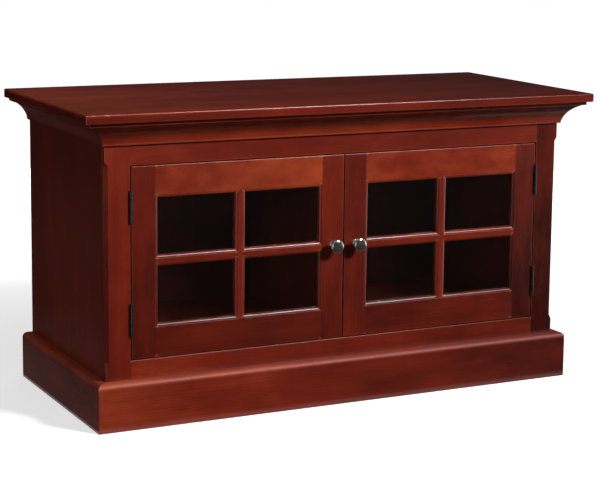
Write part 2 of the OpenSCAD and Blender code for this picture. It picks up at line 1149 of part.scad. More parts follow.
module frame_screws() {
    for (z = [low_hinge_z, high_hinge_z])
        at_left_hinge(z)
            mirror([1, 0, 0])
                leaf_screws(0);
}

module frame_hinge_screws() {
    color(hinge_metal) {
        frame_screws();
        right_hand()
            frame_screws();
    }
}

// Knobs and catches

// The knob's axis, with +Z out of the front of the door
module at_knob() {
    translate([door_w - knob_inset, 0, bar_z + knob_rise])
        rotate([90, 0, 0])
            children();
}

// Half of the knob's outline: base, neck, the hollow under the head, a rolled rim and a dome
module knob_outline() {
    head_x = knob_d / 2 - knob_rim;
    base_x = knob_base_d / 2 - knob_base_round;
    neck_x = knob_neck_d / 2;
    square([base_x, knob_base_h]);
    square([base_x + knob_base_round, knob_base_h - knob_base_round]);
    translate([base_x, knob_base_h - knob_base_round])
        circle(knob_base_round);
    square([neck_x, knob_rim_z]);
    difference() {
        polygon([
            [0, knob_neck_z],
            [neck_x, knob_neck_z],
            [head_x, knob_rim_z - knob_rim],
            [head_x, knob_rim_z],
            [0, knob_rim_z]
        ]);
        translate([neck_x + knob_cup_r, knob_neck_z - knob_cup_rise])
            circle(knob_cup_r);
    }
    translate([head_x, knob_rim_z])
        circle(knob_rim);
    intersection() {
        translate([0, knob_out - knob_dome_r])
            circle(knob_dome_r, $fn = shallow_fn);
        translate([0, knob_rim_z - knob_rim])
            square([head_x, knob_out]);
    }
}

module knob() {
    color(knob_metal)
        at_knob()
            difference() {
                rotate_extrude()
                    intersection() {
                        knob_outline();
                        square([knob_d, knob_out]);
                    }
                translate([0, 0, -past])
                    cylinder(h = knob_screw_end + pilot_rest + past, r = knob_screw_d / 2 + screw_clear);
            }
}

// A machine screw from inside the door into the knob
module knob_screw() {
    color(screw_metal)
        at_knob()
            translate([0, 0, -door_t]) {
                cylinder(h = door_t + knob_screw_end, d = knob_screw_d);
                rotate([180, 0, 0])
                    domed_head(knob_screw_d);
            }
}

// A catch's front has a notch at each end of its magnet
module left_catch() {
    notch = [catch_w - 2 * catch_notch, 2 * catch_notch, 2 * catch_notch];
    translate([-board_t / 2 - catch_w / 2, catch_y, opening_z + door_gap + catch_z])
        difference() {
            block([-catch_w / 2, 0, -catch_h / 2], [catch_w / 2, catch_depth, catch_h / 2]);
            for (end = [-1, 1])
                translate([0, 0, end * catch_h / 2])
                    cube(notch, center = true);
        }
}

module magnetic_catches() {
    color(catch_plastic) {
        left_catch();
        right_hand()
            left_catch();
    }
}

module at_strike_screw() {
    translate([strike_x, door_t + strike_t, catch_z])
        rotate([90, 0, 0])
            children();
}

// The strike plate and its screw are one piece of hardware on each door
module strike() {
    color(screw_metal) {
        block(
            [strike_x - strike_w / 2, door_t, catch_z - strike_h / 2],
            [strike_x + strike_w / 2, door_t + strike_t, catch_z + strike_h / 2]
        );
        at_strike_screw()
            cylinder(h = strike_screw_l, d = screw_d);
    }
}

top_panel();
crown_front();
crown_left();
crown_right();
face_stile_left();
face_stile_right();
face_rail_top();
face_rail_bottom();
side_panel_left();
side_panel_right();
bottom_panel();
centre_partition();
back_panel_left();
back_panel_right();
top_stretcher_front();
top_stretcher_back();
plinth_front();
plinth_left();
plinth_right();
plinth_back();
plinth_glue_blocks();
top_screws();
magnetic_catches();
frame_hinge_screws();
frame_leaf(high_hinge_z);  // left_upper_frame_leaf
frame_leaf(low_hinge_z);  // left_lower_frame_leaf
right_hand() frame_leaf(high_hinge_z);  // right_upper_frame_leaf
right_hand() frame_leaf(low_hinge_z);  // right_lower_frame_leaf
left_pins();  // left_hinge_pins
right_hand() left_pins();  // right_hinge_pins
at_left_door() hinge_stile();  // left_hinge_stile
at_left_door() lock_stile();  // left_lock_stile
at_left_door() top_rail();  // left_top_rail
at_left_door() bottom_rail();  // left_bottom_rail
at_left_door() upright_bar();  // left_upright_bar
at_left_door() crossbars();  // left_crossbars
at_left_door() glass_panes();  // left_glass
at_left_door() glass_beads();  // left_glass_beads
door_leaf(high_hinge_z);  // left_upper_door_leaf
door_leaf(low_hinge_z);  // left_lower_door_leaf
door_screws();  // left_hinge_screws
at_left_door() knob();  // left_knob
at_left_door() knob_screw();  // left_knob_screw
at_left_door() strike();  // left_strike
right_hand() at_left_door() hinge_stile();  // right_hinge_stile
right_hand() at_left_door() lock_stile();  // right_lock_stile
right_hand() at_left_door() top_rail();  // right_top_rail
right_hand() at_left_door() bottom_rail();  // right_bottom_rail
right_hand() at_left_door() upright_bar();  // right_upright_bar
right_hand() at_left_door() crossbars();  // right_crossbars
right_hand() at_left_door() glass_panes();  // right_glass
right_hand() at_left_door() glass_beads();  // right_glass_beads
right_hand() door_leaf(high_hinge_z);  // right_upper_door_leaf
right_hand() door_leaf(low_hinge_z);  // right_lower_door_leaf
right_hand() door_screws();  // right_hinge_screws
right_hand() at_left_door() knob();  // right_knob
right_hand() at_left_door() knob_screw();  // right_knob_screw
right_hand() at_left_door() strike();  // right_strike
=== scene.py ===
# %% [markdown]
# # A television console in dark cherry stain
#
# The console is a long low cabinet with two glazed doors. Its boards, glass, hinges and knobs
# arrive as a fixed model, in metres, with every board a separate piece. This lesson gives each
# piece its finish, adds the small hardware that a cabinet maker would buy, and lights the whole
# as for a catalogue.

# %% Load the cabinet
import math

import bpy
from mathutils import Matrix, Vector


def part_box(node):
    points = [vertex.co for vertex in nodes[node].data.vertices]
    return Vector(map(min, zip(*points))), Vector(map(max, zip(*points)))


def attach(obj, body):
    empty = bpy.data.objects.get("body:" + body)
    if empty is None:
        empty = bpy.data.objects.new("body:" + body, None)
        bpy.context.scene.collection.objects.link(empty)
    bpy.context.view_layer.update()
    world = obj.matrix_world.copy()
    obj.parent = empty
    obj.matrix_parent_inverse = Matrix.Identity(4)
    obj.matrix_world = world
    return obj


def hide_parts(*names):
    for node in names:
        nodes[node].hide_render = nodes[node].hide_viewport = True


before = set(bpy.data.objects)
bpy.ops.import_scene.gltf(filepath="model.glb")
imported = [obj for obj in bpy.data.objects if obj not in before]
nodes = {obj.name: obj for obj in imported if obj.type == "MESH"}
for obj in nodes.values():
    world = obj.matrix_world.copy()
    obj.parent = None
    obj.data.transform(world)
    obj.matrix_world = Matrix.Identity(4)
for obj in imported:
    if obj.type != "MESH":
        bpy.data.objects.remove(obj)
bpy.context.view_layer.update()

# %% [markdown]
# ## The camera
#
# The console is seen from its left and from a little above eye level for something so low. A
# long lens keeps its uprights nearly parallel. The camera's own three directions are worked out
# from a heading, a tilt and a small lean, because a matrix of directions can't be misread the
# way a set of turning angles can. The shift slides the picture on the sensor, which puts the
# console low and to the left of the lens's axis without tilting the camera further.

# %% Place the camera
HEADING = math.radians(27.72)
TILT = math.radians(9.12)
LEAN = math.radians(0.86)
CAMERA_AT = (-1.878, -3.825, 1.145)
SENSOR_MM = 36
FOCAL_MM = 108.7
SHIFT = (-0.083, -0.1)
FAR_CLIP = 200

ahead = Vector((
    math.sin(HEADING) * math.cos(TILT),
    math.cos(HEADING) * math.cos(TILT),
    -math.sin(TILT),
))
level_right = Vector((math.cos(HEADING), -math.sin(HEADING), 0))
level_up = level_right.cross(ahead)
right = level_right * math.cos(LEAN) + level_up * math.sin(LEAN)
up = level_up * math.cos(LEAN) - level_right * math.sin(LEAN)

lens = bpy.data.cameras.new("camera")
lens.sensor_width = SENSOR_MM
lens.lens = FOCAL_MM
lens.shift_x = SHIFT[0]
lens.shift_y = SHIFT[1]
lens.clip_end = FAR_CLIP
camera = bpy.data.objects.new("camera", lens)
camera.matrix_world = Matrix.Translation(CAMERA_AT) @ Matrix((
    (right.x, up.x, -ahead.x),
    (right.y, up.y, -ahead.y),
    (right.z, up.z, -ahead.z),
)).to_4x4()
bpy.context.scene.collection.objects.link(camera)
bpy.context.scene.camera = camera
bpy.context.scene.view_settings.view_transform = "Standard"
print("camera at", [round(v, 3) for v in camera.location])

# %% [markdown]
# ## Arithmetic for materials
#
# A material is a web of nodes, and a sum such as 1 - mask takes a Math node and two links. The
# class below wraps one socket, so that the sum can be written as it is read. Its one method for
# all other nodes takes the node's settings first, and then a value or another wire for each
# socket. Colours keep their three parts only in Mix and Vector Math nodes, so those are made
# with that method too.

# %% A wire with arithmetic
class Wire:
    """A socket in a node tree. Sums of wires add the Math nodes that work them out."""

    def __init__(self, tree, socket=None):
        self.tree = tree
        self.socket = socket

    def node(self, kind, settings=None, sockets=None, output=0):
        """Adds one node: its settings, a ramp's stops among them, and then its sockets."""
        made = self.tree.nodes.new("ShaderNode" + kind)
        for name, value in (settings or {}).items():
            if name == "stops":
                marks = made.color_ramp.elements
                while len(marks) < len(value):
                    marks.new(0.5)
                for mark, (place, colour) in zip(marks, value):
                    mark.position = place
                    mark.color = colour
            else:
                setattr(made, name, value)
        for name, value in (sockets or {}).items():
            if isinstance(value, Wire):
                self.tree.links.new(value.socket, made.inputs[name])
            else:
                made.inputs[name].default_value = value
        return Wire(self.tree, made.outputs[output] if made.outputs else None)

    def also(self, output):
        """Another output of the node that this wire comes from."""
        return Wire(self.tree, self.socket.node.outputs[output])

    def maths(self, operation, first, second=0.0):
        """One Math node."""
        return self.node("Math", {"operation": operation}, {0: first, 1: second})

    def __add__(self, other):
        return self.maths("ADD", self, other)

    def __radd__(self, other):
        return self.maths("ADD", other, self)

    def __sub__(self, other):
        return self.maths("SUBTRACT", self, other)

    def __rsub__(self, other):
        return self.maths("SUBTRACT", other, self)

    def __mul__(self, other):
        return self.maths("MULTIPLY", self, other)

    def __rmul__(self, other):
        return self.maths("MULTIPLY", other, self)

    def __pow__(self, other):
        return self.maths("POWER", self, other)

    def size(self):
        """How far this wire's number is from 0."""
        return self.maths("ABSOLUTE", self)

    def most(self, other):
        """The larger of two numbers."""
        return self.maths("MAXIMUM", self, other)

    def least(self, other):
        """The smaller of two numbers."""
        return self.maths("MINIMUM", self, other)

    def spread(self, low, high, start=0.0, end=1.0):
        """Stretches low..high to start..end and clips what lies outside."""
        return self.node("MapRange", {"clamp": True}, {0: self, 1: low, 2: high, 3: start, 4: end})

    def until(self, near, far):
        """1 up to near, and from there it falls to 0 at far."""
        return self.spread(near, far, 1.0, 0.0)

    def scaled(self, x, y, z):
        """This vector with each part multiplied."""
        return self.node("VectorMath", {"operation": "MULTIPLY"}, {0: self, 1: (x, y, z)})

    def noise(self, scale, detail=2.0, roughness=0.5):
        """Cloudy noise read at this vector, near 0.5 on average."""
        return self.node(
            "TexNoise", None,
            {"Vector": self, "Scale": scale, "Detail": detail, "Roughness": roughness},
        )

    def tint(self, first, second):
        """A colour between two others, as far along as this wire says."""
        return self.node(
            "Mix", {"data_type": "RGBA", "clamp_factor": True}, {0: self, 6: first, 7: second}, 2
        )


print("operators of a wire: + - * **")

# %% [markdown]
# A colour picker gives colours as a screen shows them, and a shader works with amounts of light,
# which are much smaller in the dark half. One function turns the first into the second, so that
# every colour below can be written as it would be picked. Each material starts empty and ends
# with one Principled shader.

# %% Colours and materials
def linear(red, green, blue):
    """A colour as a screen shows it, from 0 to 255, in the light values that a shader uses."""
    parts = []
    for value in (red, green, blue):
        share = value / 255
        parts.append(share / 12.92 if share <= 0.04045 else ((share + 0.055) / 1.055) ** 2.4)
    return (*parts, 1.0)


def new_material(name):
    """An empty material and a wire that adds nodes to it."""
    material = bpy.data.materials.new(name)
    material.use_nodes = True
    material.node_tree.nodes.clear()
    return material, Wire(material.node_tree)


def finish_surface(start, sockets):
    """Ends a material with one Principled shader."""
    shader = start.node("BsdfPrincipled", None, sockets)
    start.node("OutputMaterial", None, {"Surface": shader})


print("a middle grey in light values:", round(linear(128, 128, 128)[0], 3))

# %% [markdown]
# ## Floor and light
#
# The console stands on a plain pale sheet in a studio. The sheet is bright to the eye and in
# reflections, and dull to the light that it sends up under the cabinet, as grey paper under a
# bright lamp is: that keeps the hollow of the crown dark. It glows a little, so that it runs out
# to white behind the console and the shadow on it stays soft.

# %% The floor
FLOOR_SIZE = 120
FLOOR_SEEN = 0.75
FLOOR_BOUNCE = 0.06
FLOOR_PULP = 0.02
GLOW_NEAR = 0.9
GLOW_FAR = 2.4
GLOW_LEAST = 0.6

bpy.ops.mesh.primitive_plane_add(size=FLOOR_SIZE, location=(0, 0, 0))
floor = bpy.context.object
floor.name = "floor"
paper, start = new_material("pale_paper")
path = start.node("LightPath")
seen = path.most(path.also("Is Glossy Ray")).most(path.also("Is Transmission Ray"))
place = start.node("TexCoord", None, None, "Object")
reach = start.node("VectorMath", {"operation": "LENGTH"}, {0: place}, "Value")
pulp = place.noise(40, 3)
grey = seen * (FLOOR_SEEN - FLOOR_BOUNCE) + FLOOR_BOUNCE + (pulp - 0.5) * FLOOR_PULP
sheet = start.node("CombineColor", None, {0: grey, 1: grey, 2: grey})
matt = start.node("BsdfDiffuse", None, {"Color": sheet})
strength = reach.spread(GLOW_NEAR, GLOW_FAR, GLOW_LEAST, 1.0) * seen
glow = start.node("Emission", None, {"Strength": strength})
surface = start.node("AddShader", None, {0: matt, 1: glow})
start.node("OutputMaterial", None, {"Surface": surface})
floor.data.materials.append(paper)
print("floor", FLOOR_SIZE, "m square")

# %% [markdown]
# Lacquer and glass mirror whatever stands opposite. A photographer lays dark cloth on the floor
# round a polished piece, so that the panes stay clear and the colour deep. The front cloth here
# widens with distance, the way that the doors mirror the view. The other lies at the sides and
# behind, where the hollow of the crown mirrors it, and is grey close to the case, which lifts
# the foot of the shaded side. The cloths are hidden from the camera, so that the floor is pale
# from every side, and they leave the lamps' shadows alone.

# %% The dark cloths
CLOTH_Z = 0.004
STRIP_X = (0.6, 0.85)
STRIP_Y = (0.7, 0.9)
OUTER_X = (1.2, 1.6)


def cloth(name, shades, corners):
    """A sheet on the floor that only reflections and bounced light meet.

    The shades are its tone close to the case, further out, and beyond OUTER_X.
    """
    felt, start = new_material(name)
    place = start.node("TexCoord", None, None, "Object")
    parts = start.node("SeparateXYZ", None, {0: place})
    aside = parts.size()
    near, middle, far = shades
    strip = aside.spread(*STRIP_X, near - middle, 0) * parts.also("Y").until(*STRIP_Y)
    tone = strip + middle + aside.spread(*OUTER_X, 0, far - middle)
    tone = tone * place.noise(900, 2).spread(0, 1, 0.6, 1.4)
    colour = start.node("CombineColor", None, {0: tone, 1: tone, 2: tone})
    shader = start.node("BsdfDiffuse", None, {"Color": colour})
    start.node("OutputMaterial", None, {"Surface": shader})
    mesh = bpy.data.meshes.new(name)
    mesh.from_pydata([(x, y, CLOTH_Z) for x, y in corners], [], [range(len(corners))])
    sheet = bpy.data.objects.new(name, mesh)
    bpy.context.scene.collection.objects.link(sheet)
    mesh.materials.append(felt)
    sheet.visible_camera = False
    sheet.visible_shadow = False
    print(name, corners)
    return sheet


BLACK = 0.016
cloth(
    "front_cloth", (BLACK, BLACK, BLACK),
    [(-0.7, -0.265), (-16.5, -59.5), (50, -32.8), (1.3, -0.95), (1.1, -0.265)],
)
side_cloth = cloth(
    "side_cloth", (0.4, 0.07, BLACK),
    [
        (-25, -25), (-0.75, -0.36), (-0.7, -0.3), (-0.6, -0.3), (-0.6, 0.3),
        (0.6, 0.3), (0.6, -0.2), (40, -0.2), (40, 40), (-40, 40),
    ],
)
side_cloth.visible_transmission = False

# %% [markdown]
# One large lamp stands to the right of the camera and above it. It is the only strong light, so
# every part that stands out throws one clear shadow down and to the left, and every moulding that
# faces up shows it as a bright line. A weak lamp far to the left keeps the shaded side from
# going black, and another hangs overhead. Two wide, faint panels stand at the left and right,
# mostly to be mirrored: they are the pale crescents on the knobs. A low one behind shows the
# back, and no polished side mirrors it. Each lamp is given by how bright a white card that
# faces it would look at the console, and its power follows from its distance.

# %% The lamps
AIM = Vector((0, -0.23, 0.42))
DUSK = (0.025, 0.025, 0.025, 1)


def facing(place, direction):
    """A matrix that sets a thing down at a place, with its Z along a direction."""
    turn = Vector(direction).to_track_quat("Z", "Y").to_matrix().to_4x4()
    return Matrix.Translation(place) @ turn


def softbox(name, place, width, height, card):
    """A rectangle of light turned to the console. A white card facing it would show as card."""
    data = bpy.data.lights.new(name, "AREA")
    data.shape = "RECTANGLE"
    data.size = width
    data.size_y = height
    away = Vector(place) - AIM
    data.energy = math.pi ** 2 * card * away.length_squared
    lamp = bpy.data.objects.new(name, data)
    lamp.matrix_world = facing(place, away)
    bpy.context.scene.collection.objects.link(lamp)
    print(name, round(data.energy), "W")
    return lamp


softbox("key_light", (2.5, -4.45, 3.5), 1.0, 1.0, 1.2)
softbox("side_light", (-2.0, 0.1, 0.5), 0.8, 0.8, 0.07)
softbox("top_light", (-1.1, -0.5, 3.0), 1.8, 1.2, 0.17)
softbox("left_panel", (-2.9, -2.6, 1.2), 1.4, 1.6, 0.08)
softbox("right_panel", (3.45, -1.9, 1.0), 1.5, 2.2, 0.1)
softbox("back_light", (1.3, 3.2, 0.36), 2.0, 0.6, 0.45).visible_glossy = False

world = bpy.data.worlds.new("studio")
world.use_nodes = True
world.node_tree.nodes.clear()
start = Wire(world.node_tree)
dusk = start.node("Background", None, {"Color": DUSK})
start.node("OutputWorld", None, {"Surface": dusk})
bpy.context.scene.world = world

# %% [markdown]
# ## The wood
#
# Every board is stained cherry or birch under a satin lacquer, so each shows its own figure.
# The pattern is built in layers, from the broad to the fine: slow drifts of tone along a board,
# the blotches where stain soaks in unevenly, the flames of the figure, growth rings around a
# heart that lies outside the board, fibres, and short dark pores. All of them are read from the
# piece's own coordinates, with the first one turned to run along the grain, and each board
# starts from another place, so that no two match.
#
# Lacquer wears thin where a hand or a cloth rubs it: along the edges of the top, round the door
# opening, on the arrises of the doors and on the mouldings round the glass. It doesn't wear at a
# flush joint, so the worn places are bounded by their distances from those edges. Each pair of
# numbers whose name ends in WEAR says up to which distance the wear is full, and where it ends.
# MITRE_FLUSH works the other way: up to there a glued mitre shows no wear.

# %% Where edges wear
DOOR_MIDDLE = 0.2574
DOOR_HALF = (0.2562, 0.212)
OPENING_HALF = (0.516, 0.214)
OPENING_Z = 0.363
PANE_HALF = (0.09075, 0.0629)
PANE_OFF = (0.10345, 0.0756)
CROSSBAR_Z = 0.365
CASE_X = 0.574
CASE_FRONT = -0.2245
CASE_BACK = 0.2855
PLINTH_X = 0.599
PLINTH_FRONT = -0.2495
PLINTH_ROUND = (0.09, 0.096)
MITRE_FLUSH = (0.006, 0.014)
PLINTH_WEAR = (0.003, 0.007)
BACK_EDGE_WEAR = (0.006, 0.01)
OPENING_WEAR = (0.0035, 0.0055)
CORNER_WEAR = (0.014, 0.017)
FRONT_WEAR = (0.012, 0.015)
MOULDING_WEAR = (0.0085, 0.0095)
DOOR_EDGE_WEAR = (0.004, 0.006)
FOOT_Z = 0.1

INSIDE = [name for name in nodes if name.startswith((
    "bottom_panel", "centre_partition", "back_panel", "top_stretcher", "plinth_back",
    "plinth_glue",
))]


def rubbed_places(name, x, y, z):
    """1 on the edges of a board that wear, and 0 at its flush joints."""
    if name.startswith("top_panel"):
        # A hand reaches every edge of the top.
        return z.spread(0, FOOT_Z)
    if name in INSIDE:
        # Inside, edges wear less, and least of all near the floor.
        return z.spread(0, FOOT_Z, 0, 0.4)
    aside = x.size()
    if name.startswith(("crown", "plinth")):
        mitre = (aside - CASE_X + y - CASE_FRONT).size()
        if name.startswith("crown"):
            return mitre.spread(*MITRE_FLUSH, 0.0, 0.15)
        outer = (PLINTH_X - aside).most(y - PLINTH_FRONT).until(*PLINTH_WEAR)
        knocked = outer * z.spread(*PLINTH_ROUND)
        return mitre.spread(*MITRE_FLUSH, 0.0, 0.6).most(knocked)
    if name.startswith("side"):
        return (CASE_BACK - y).until(*BACK_EDGE_WEAR)
    if name.startswith("face"):
        opening = (aside - OPENING_HALF[0]).most((z - OPENING_Z).size() - OPENING_HALF[1]).size()
        corner = (CASE_X - aside).until(*CORNER_WEAR)
        front = (y - CASE_FRONT).until(*FRONT_WEAR)
        return opening.until(*OPENING_WEAR).most(corner * front)
    across = (aside - DOOR_MIDDLE).size()
    wide = (across - PANE_OFF[0]).size() - PANE_HALF[0]
    high = ((z - CROSSBAR_Z).size() - PANE_OFF[1]).size() - PANE_HALF[1]
    moulding = wide.most(high)
    edge = (DOOR_HALF[0] - across).least(DOOR_HALF[1] - (z - OPENING_Z).size())
    return moulding.until(*MOULDING_WEAR).most(edge.until(*DOOR_EDGE_WEAR))


print("boards inside the case:", len(INSIDE))

# %% [markdown]
# The figure is a sum of its layers, and says how pale the stain is at each point. The scales say
# how many patches a metre holds, along the grain and in the two directions across it: a fibre
# is long and thin, so its three numbers differ most.

# %% The figure of a board
ORDER = {"x": (0, 1, 2), "y": (1, 2, 0), "z": (2, 0, 1)}
DRIFTS = (1.6, 5, 5)
BLOTCHES = (9, 17, 17)
FLAMES = (6, 34, 34)
FIBRES = (9, 420, 420)
PORES = (70, 1500, 1500)
RINGS = {"Scale": 62, "Distortion": 9, "Detail": 2, "Detail Scale": 0.35}


def board_figure(start, parts, grain, number, tone, figure, lean, fade):
    """How pale the stain is over one board, and the blotches, fibres and pores alone."""
    along, across, through = (parts[i] for i in ORDER[grain])
    board = start.node("CombineXYZ", None, {
        0: along + number * 1.37,
        1: across + along * lean + number * 0.71,
        2: through + number * 0.29,
    })
    drift = board.scaled(*DRIFTS).noise(1, 2)
    blotch = board.scaled(*BLOTCHES).noise(1, 3, 0.55)
    flame = board.scaled(*FLAMES).noise(1, 2, 0.4)
    heart = start.node("CombineXYZ", None, {
        0: along * 0.12 + number * 0.37,
        1: across + along * lean * 0.4 + 0.03,
        2: through + 0.11 + 0.013 * (number % 5),
    })
    rings = start.node(
        "TexWave",
        {"wave_type": "RINGS", "rings_direction": "X", "wave_profile": "SAW"},
        {"Vector": heart, **RINGS},
        1,
    )
    fibre = board.scaled(*FIBRES).noise(1, 3, 0.6)
    pores = board.scaled(*PORES).noise(1, 1).spread(0.62, 0.72)
    paleness = (
        0.45 + tone
        + along * fade
        + (drift - 0.5) * 0.5
        + (blotch - 0.5) * (0.6 * figure)
        + (flame - 0.5) * (0.42 * figure)
        + (rings - 0.5) * 0.07
        + (fibre - 0.5) * 0.1
    )
    return paleness, blotch, fibre, pores


print("blotches to a metre:", BLOTCHES, "and fibres:", FIBRES)

# %% [markdown]
# A ramp from a deep brown through red to amber turns the figure into colour. One Ambient
# Occlusion node finds the inner corners and the places next to other parts, and darkens them:
# that darkening is painted shade, together with the polish and dust that gather there and dull
# the lacquer. Another looks into the board itself and finds the edges, where the rubbed wood is
# paler and duller. Three kinds of board have a place of their own: the edge of the top, the
# round of the plinth and the inner faces of the sides.

# %% Lacquered wood
DEEP = linear(52, 13, 8)
RED = linear(114, 32, 17)
AMBER = linear(166, 68, 36)
WORN = linear(182, 98, 62)
TOP_EDGE = (0.688, 0.694)
PLINTH_LIP = (0.094, 0.1)
INNER_FACE = (0.5555, 0.5565)
DUST_AND_SHADE_REACH = 0.012
EDGE_REACH = 0.0035
EDGE_ROUND = 0.0008
FIGURE_DEPTH = 0.0004


def lacquered_wood(name, grain, number, tone, figure, lean, dullness, fade):
    """Stained wood whose grain runs along one axis.

    number gives each board its own figure. tone makes it paler all over and fade by so much for
    each metre along the grain, figure makes its pattern stronger, and lean makes it slant.
    """
    material, start = new_material(name + "_finish")
    place = start.node("TexCoord", None, None, "Object")
    parts = start.node("SeparateXYZ", None, {0: place})
    parts = [parts.also(part) for part in ("X", "Y", "Z")]
    along = parts["xyz".index(grain)]
    paleness, blotch, fibre, pores = board_figure(
        start, parts, grain, number, tone, figure, lean, fade,
    )
    if name == "top_panel":
        # The face of the top is palest at the left, but its edge is deep all along.
        paleness = paleness - parts[2].until(*TOP_EDGE) * (0.1 - along * 0.45)
    scuffed_and_lit = 0.0
    if name.startswith("plinth") and name not in INSIDE:
        # Shoes and brooms have dulled the round of the plinth, and its colour is painted paler
        # there, as light from above falls on it.
        scuffed_and_lit = parts[2].spread(*PLINTH_LIP)
    paleness = paleness + scuffed_and_lit * 0.3
    if name.startswith("side_panel"):
        # The inner face of a side is painted paler, as if lit, and palest near the deck.
        painted_lit_inner_face = parts[0].size().until(*INNER_FACE)
        paleness = paleness + painted_lit_inner_face * (0.75 - along * 1.1)
    colour = start.node(
        "ValToRGB",
        {"stops": [(0.0, DEEP), (0.5, RED), (1.0, AMBER)]},
        {0: paleness},
    )
    colour = (pores * 0.5).tint(colour, DEEP)
    # Painted shade: inner corners and places next to other parts are darkened, along with their dust
    # and polish.
    inner = start.node("AmbientOcclusion", {"samples": 4}, {"Distance": DUST_AND_SHADE_REACH}, "AO")
    dust_and_shade = inner.spread(0.35, 0.85, 0.5, 0.0)
    colour = dust_and_shade.tint(colour, DEEP)
    rounded = start.node("Bevel", {"samples": 4}, {"Radius": EDGE_ROUND})
    depth = start.node(
        "AmbientOcclusion", {"inside": True, "only_local": True, "samples": 6},
        {"Distance": EDGE_REACH}, "AO",
    )
    rub = place.noise(40, 3, 0.65).spread(0.35, 0.65, 0.25, 1.0)
    worn = (1 - depth).spread(0.15, 0.55) * rub * rubbed_places(name, *parts)
    colour = (worn * 0.55).tint(colour, WORN)
    smudge = place.noise(7, 2)
    rough = dullness + (smudge - 0.5) * 0.1 + (fibre - 0.5) * 0.08 + worn * 0.1 + dust_and_shade * 0.2
    rough = rough + scuffed_and_lit * 0.25
    relief = fibre * 0.6 - pores * 0.8 + blotch * 0.35
    bump = start.node(
        "Bump", None,
        {"Strength": 0.2, "Distance": FIGURE_DEPTH, "Height": relief, "Normal": rounded},
    )
    finish_surface(start, {
        "Base Color": colour,
        "Roughness": rough,
        "Specular IOR Level": 0.42,
        "Normal": bump,
    })
    return material


print("deepest and palest tone:", [[round(v, 3) for v in tone[:3]] for tone in (DEEP, WORN)])

# %% [markdown]
# The grain of a board runs along its length, so the longest side of its box gives the axis; the
# sides of the case are the exception, with upright grain. The doors are the liveliest boards,
# the rails above the glass were cut from wood with a slanting figure, and the boards towards
# the right are a shade darker. Each row of the table gives a board's tone, figure, lean,
# dullness and fade.

# %% Finish each outside board
def dress(node, material):
    """Gives a piece of the model one material all over."""
    slots = nodes[node].data.materials
    slots.clear()
    slots.append(material)


def long_axis(node):
    """The axis along which a board is longest, as its grain runs."""
    low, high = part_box(node)
    size = [high[i] - low[i] for i in range(3)]
    return "xyz"[size.index(max(size))]


SIDES = {"left": -1, "right": 1}
TONES = {
    "top_panel": (-0.02, 0.6, 0.0, 0.24, -0.34),
    "crown_front": (0.14, 0.6, 0.0, 0.28, 0.0),
    "crown_left": (-0.06, 0.5, 0.0, 0.3, 0.0),
    "crown_right": (-0.06, 0.5, 0.0, 0.3, 0.0),
    "plinth_front": (-0.06, 0.7, 0.0, 0.3, -0.4),
    "side_panel_left": (0.12, 0.5, 0.0, 0.34, -0.45),
    "side_panel_right": (0.12, 0.5, 0.0, 0.34, -0.45),
    "face_stile_left": (-0.27, 0.8, 0.0, 0.26, 0.7),
    "face_rail_top": (-0.03, 0.8, 0.0, 0.26, -0.06),
    "face_stile_right": (-0.59, 0.7, 0.0, 0.2, 0.55),
    "face_rail_bottom": (-0.1, 0.8, 0.0, 0.26, -0.35),
    "left_top_rail": (0.42, 0.9, 0.5, 0.26, 0.6),
    "left_hinge_stile": (-0.44, 0.7, 0.0, 0.26, 0.7),
    "left_lock_stile": (-0.34, 0.7, 0.0, 0.26, 0.8),
    "left_bottom_rail": (-0.24, 0.7, 0.0, 0.26, 0.0),
    "left_upright_bar": (0.1, 0.6, 0.0, 0.26, 0.0),
    "right_top_rail": (0.22, 0.9, -0.4, 0.26, -0.35),
    "right_hinge_stile": (-0.55, 0.7, 0.0, 0.26, 0.65),
    "right_lock_stile": (-0.1, 0.7, 0.0, 0.26, 0.0),
    "right_bottom_rail": (-0.25, 0.7, 0.0, 0.26, 0.0),
}
USUAL = (0.0, 0.8, 0.0, 0.26, 0.0)
OUTSIDE = [
    name for name in nodes
    if name.startswith(("top_panel", "crown_", "face_", "side_panel", "plinth_"))
    and name not in INSIDE
] + [
    side + part for side in SIDES
    for part in (
        "_hinge_stile", "_lock_stile", "_top_rail", "_bottom_rail", "_upright_bar",
        "_crossbars", "_glass_beads",
    )
]
for number, name in enumerate(OUTSIDE, 1):
    grain = "z" if name.startswith("side_panel") else long_axis(name)
    dress(name, lacquered_wood(name, grain, number, *TONES.get(name, USUAL)))
print("finished boards:", len(OUTSIDE))

# %% [markdown]
# ## Inside the case
#
# The inside is stained but hardly lacquered, so it is duller than the outside, and the backs are
# thin sheets with a plain veneer. They use the same layers with a lower sheen. The deck and the
# foot of the partition are painted a shade lighter, as if the light that comes in through the
# glass fell on them.

# %% Finish the inside
# Painted light: the deck and the foot of the partition are lighter, as if lit through the glass.
PAINTED_LIGHT_INSIDE = {"bottom_panel": (0.3, 0.0), "centre_partition": (0.9, -1.8)}
PLAIN_INSIDE = (-0.1, 0.0)
PLAIN_FIGURE = 0.5
PLAIN_DULLNESS = 0.55

for number, name in enumerate(INSIDE, 40):
    grain = "z" if name.startswith(("back_panel", "centre_partition")) else long_axis(name)
    tone, fade = PAINTED_LIGHT_INSIDE.get(name, PLAIN_INSIDE)
    finish = lacquered_wood(name, grain, number, tone, PLAIN_FIGURE, 0.0, PLAIN_DULLNESS, fade)
    dress(name, finish)
print("inside boards:", len(INSIDE))

# %% [markdown]
# ## Glass
#
# The panes are plain float glass, four to a door. Real panes are never quite clean, so a faint
# wipe pattern changes their gloss, and a long shallow ripple bends what they mirror.

